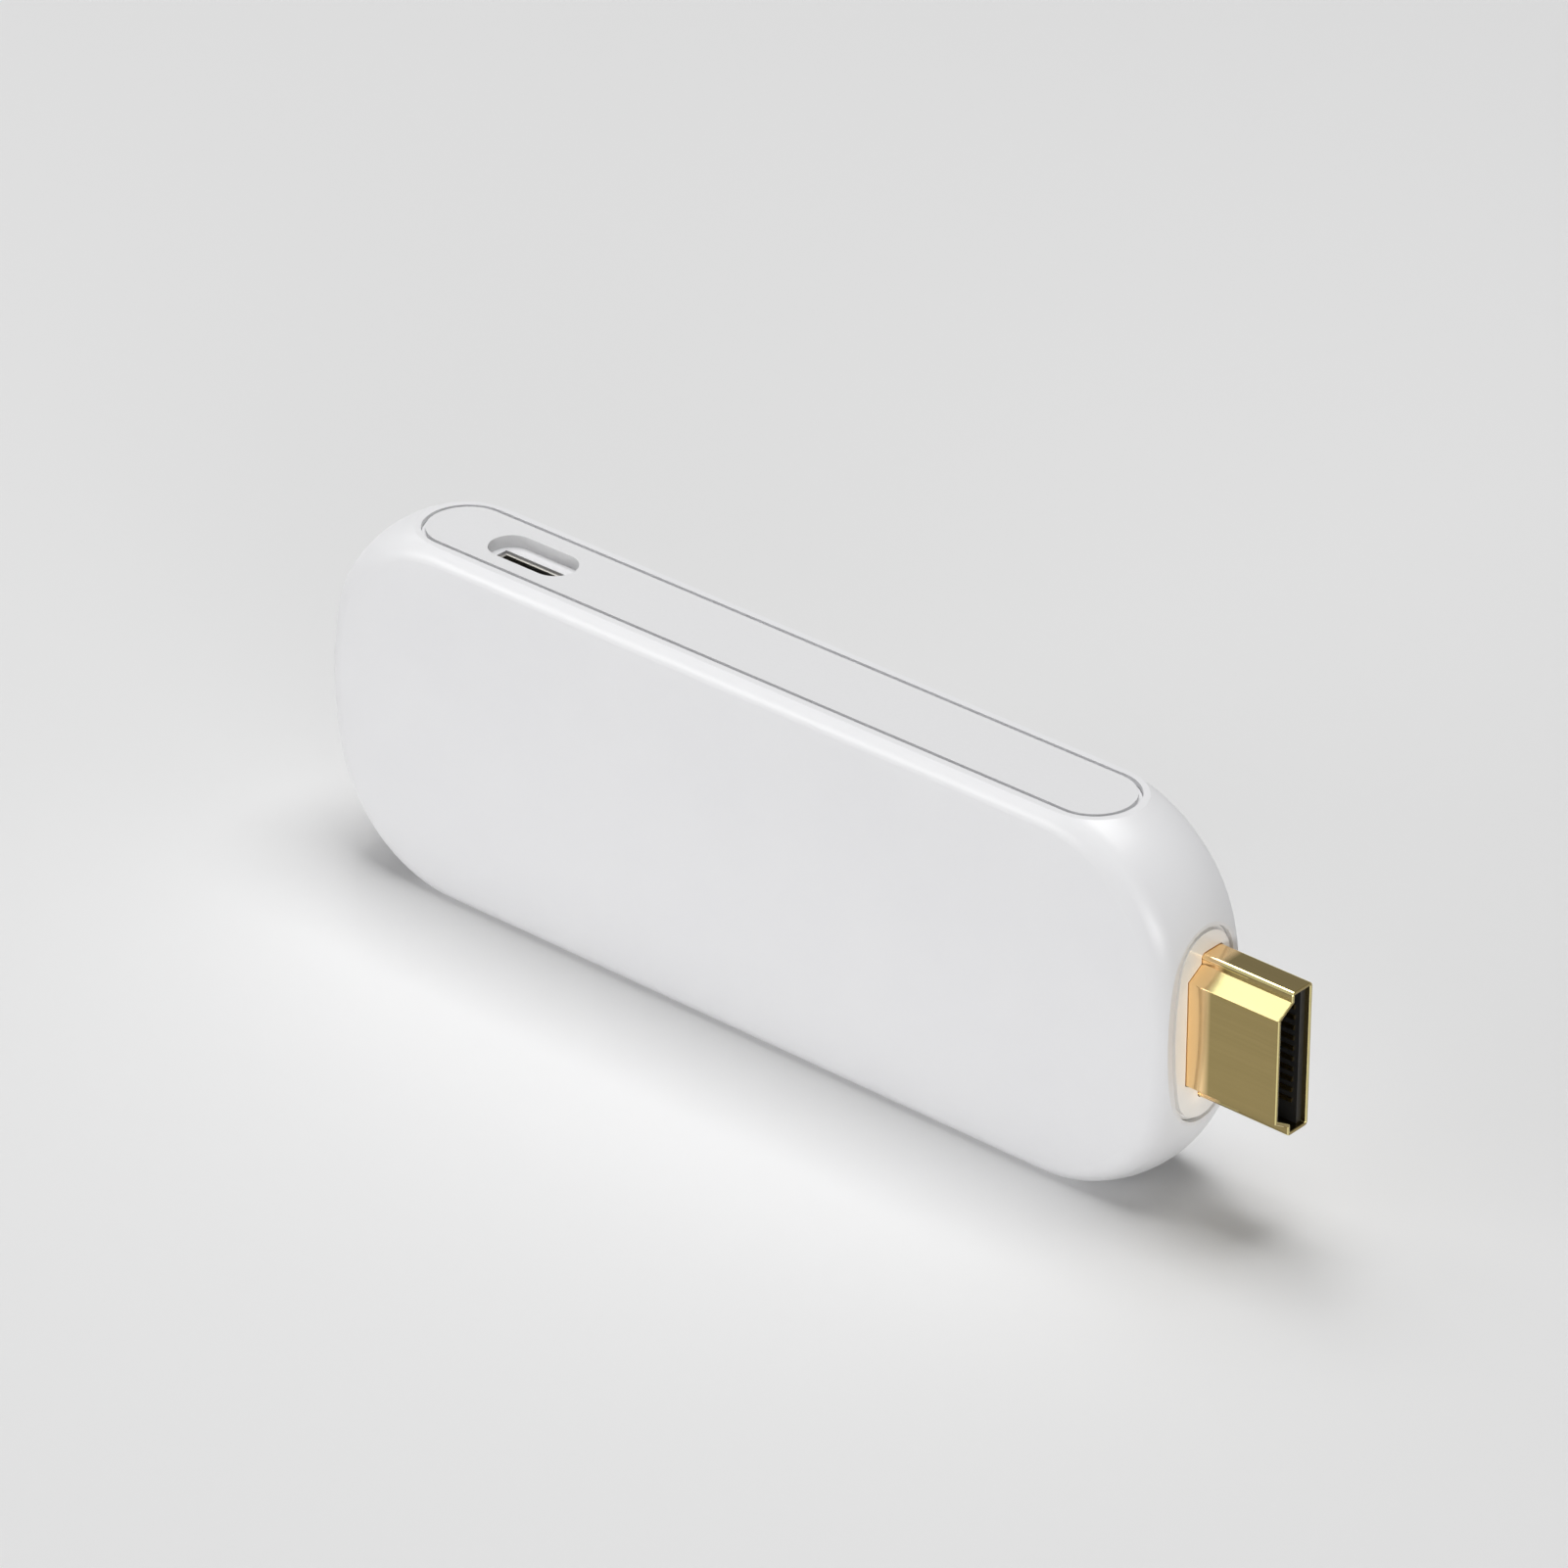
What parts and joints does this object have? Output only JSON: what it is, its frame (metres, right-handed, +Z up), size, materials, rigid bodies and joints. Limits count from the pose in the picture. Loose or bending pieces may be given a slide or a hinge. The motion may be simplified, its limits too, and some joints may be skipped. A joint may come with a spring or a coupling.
{
  "type": "smart tv stick",
  "caption": "Flat pebble-shaped TV stick with soft edges, a gold HDMI plug at one end and a power socket in an inset panel along its narrow side.",
  "frame": {"origin": "middle of the flat on the narrow side that the stick stands on, as in the picture", "axes": "+X along the stick toward the HDMI plug, -Y out of the broad front face, +Z up to the narrow side with the power socket"},
  "size_m": [0.1069, 0.012, 0.0352],
  "materials": {
    "housing_white": "satin white moulded ABS",
    "panel_white": "satin white moulded ABS",
    "bezel_white": "satin white moulded ABS",
    "board_green": "green solder mask",
    "plug_gold": "polished gold plating",
    "insulator_black": "moulded black LCP",
    "contact_gold": "gold plating",
    "socket_steel": "nickel-plated steel",
    "package_black": "black moulding compound",
    "inductor_grey": "grey ferrite",
    "capacitor_tan": "tan ceramic with tinned ends",
    "can_metal": "tinned pressed steel",
    "radio_board_blue": "blue solder mask",
    "antenna_ceramic": "white ceramic",
    "pad_blue": "soft silicone pad",
    "spreader_aluminium": "brushed aluminium",
    "screw_steel": "plated steel"
  },
  "bodies": {
    "root": {"main_housing": "housing_white", "rear_cover": "housing_white", "side_panel": "panel_white", "plug_bezel": "bezel_white", "main_board": "board_green", "hdmi_shell": "plug_gold", "hdmi_insulator": "insulator_black", "hdmi_contacts": "contact_gold", "usb_shell": "socket_steel", "usb_insulator": "insulator_black", "usb_contacts": "contact_gold", "processor": "package_black", "memory_chips": "package_black", "storage_chip": "package_black", "power_controller": "package_black", "power_inductors": "inductor_grey", "ceramic_capacitors": "capacitor_tan", "system_crystal": "can_metal", "port_protectors": "package_black", "wifi_board": "radio_board_blue", "wifi_shield": "can_metal", "wifi_antenna": "antenna_ceramic", "thermal_pad": "pad_blue", "heat_spreader": "spreader_aluminium", "board_screws": "screw_steel"}
  },
  "joints": []
}
